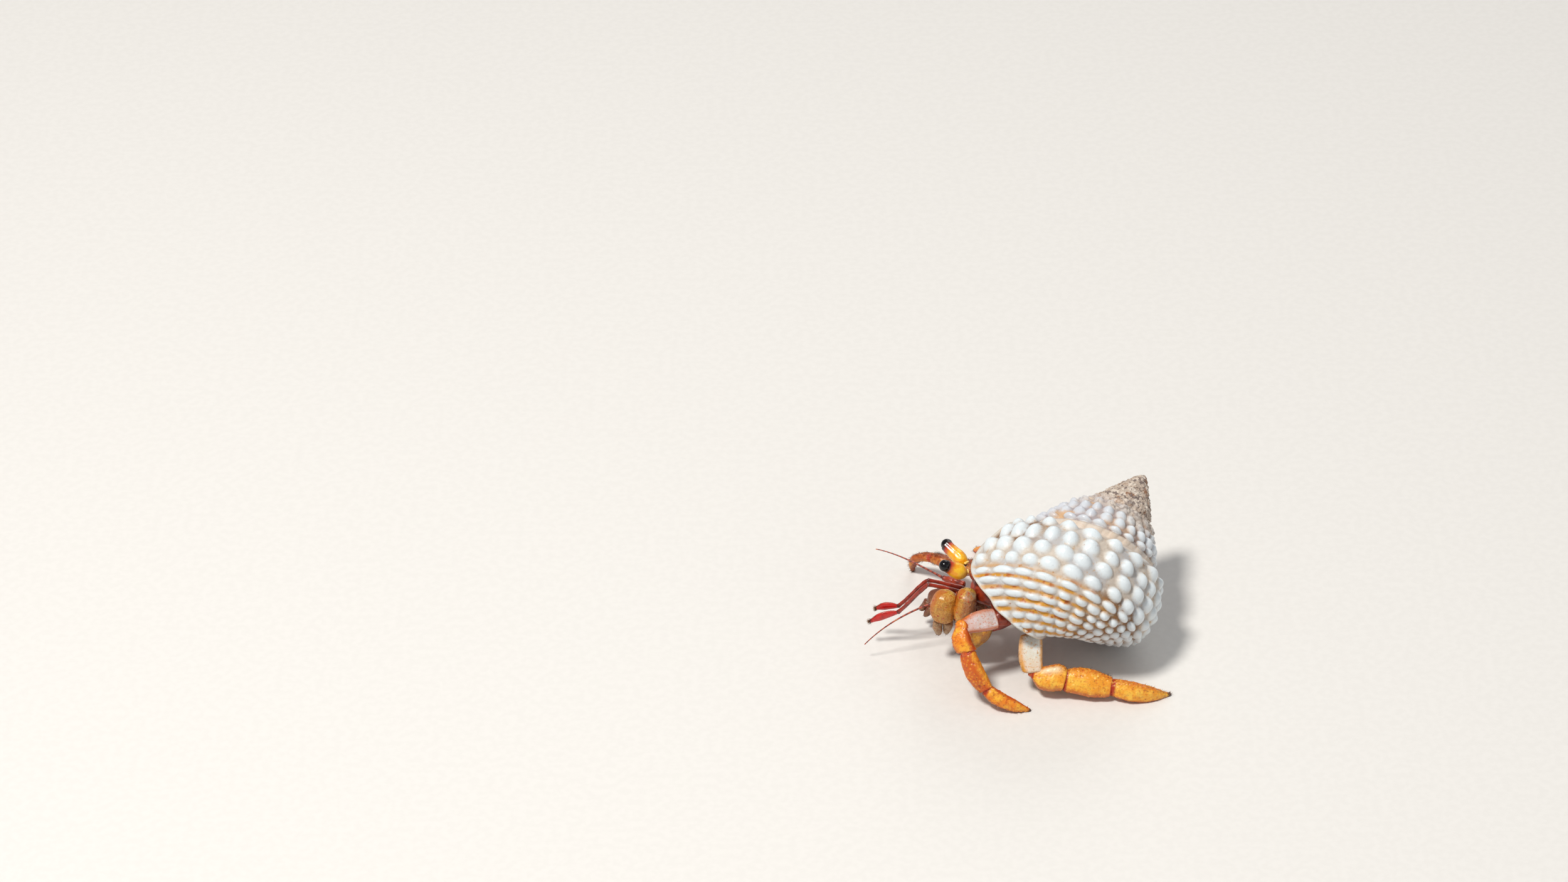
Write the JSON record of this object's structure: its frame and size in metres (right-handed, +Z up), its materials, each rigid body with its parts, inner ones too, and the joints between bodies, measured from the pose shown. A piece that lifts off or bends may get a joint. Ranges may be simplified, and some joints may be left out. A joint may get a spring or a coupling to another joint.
{
  "type": "land hermit crab",
  "caption": "Small orange land hermit crab walking in a cone-shaped, white-beaded snail shell, with its eyes, feelers and claws held forward.",
  "frame": {"origin": "on the floor under the middle of the crab's bounding box", "axes": "+Z up from the floor, -X the way the crab walks, -Y its left side"},
  "size_m": [0.03, 0.0268, 0.0158],
  "materials": {
    "shell": "glossy",
    "shield": "satin",
    "flesh": "satin",
    "abdomen": "satin",
    "claw": "satin",
    "leg": "satin",
    "merus": "glossy",
    "stalk": "satin",
    "cornea": "glossy",
    "antennule": "satin"
  },
  "bodies": {
    "root": {"shell": "shell", "abdomen_front": "abdomen", "abdomen_back": "abdomen", "thorax": "flesh", "carapace_back": "flesh", "shield": "shield", "eyestalk_left": "stalk", "cornea_left": "cornea", "eyestalk_right": "stalk", "cornea_right": "cornea", "antennule_base_left": "antennule", "antennule_arm_left": "antennule", "antennule_flagellum_left": "antennule", "antennule_base_right": "antennule", "antennule_arm_right": "antennule", "antennule_flagellum_right": "antennule", "antenna_base_left": "flesh", "antenna_flagellum_left": "antennule", "antenna_base_right": "flesh", "antenna_flagellum_right": "antennule", "maxilliped_left": "claw", "maxilliped_right": "claw", "claw_left_ischium": "flesh", "claw_left_merus": "claw", "claw_left_carpus": "claw", "claw_left_palm": "claw", "claw_left_fixed_finger": "claw", "claw_left_dactyl": "claw", "claw_right_merus": "claw", "claw_right_carpus": "claw", "claw_right_palm": "claw", "claw_right_fixed_finger": "claw", "claw_right_dactyl": "claw", "leg2_left_ischium": "leg", "leg2_left_merus": "merus", "leg2_left_carpus": "leg", "leg2_left_propodus": "leg", "leg2_left_dactyl": "leg", "leg3_left_ischium": "leg", "leg3_left_merus": "merus", "leg3_left_carpus": "leg", "leg3_left_propodus": "leg", "leg3_left_dactyl": "leg", "leg2_right_ischium": "leg", "leg2_right_merus": "merus", "leg2_right_carpus": "leg", "leg2_right_propodus": "leg", "leg2_right_dactyl": "leg", "leg3_right_ischium": "leg", "leg3_right_merus": "merus", "leg3_right_carpus": "leg", "leg3_right_propodus": "leg", "leg3_right_dactyl": "leg"}
  },
  "joints": []
}
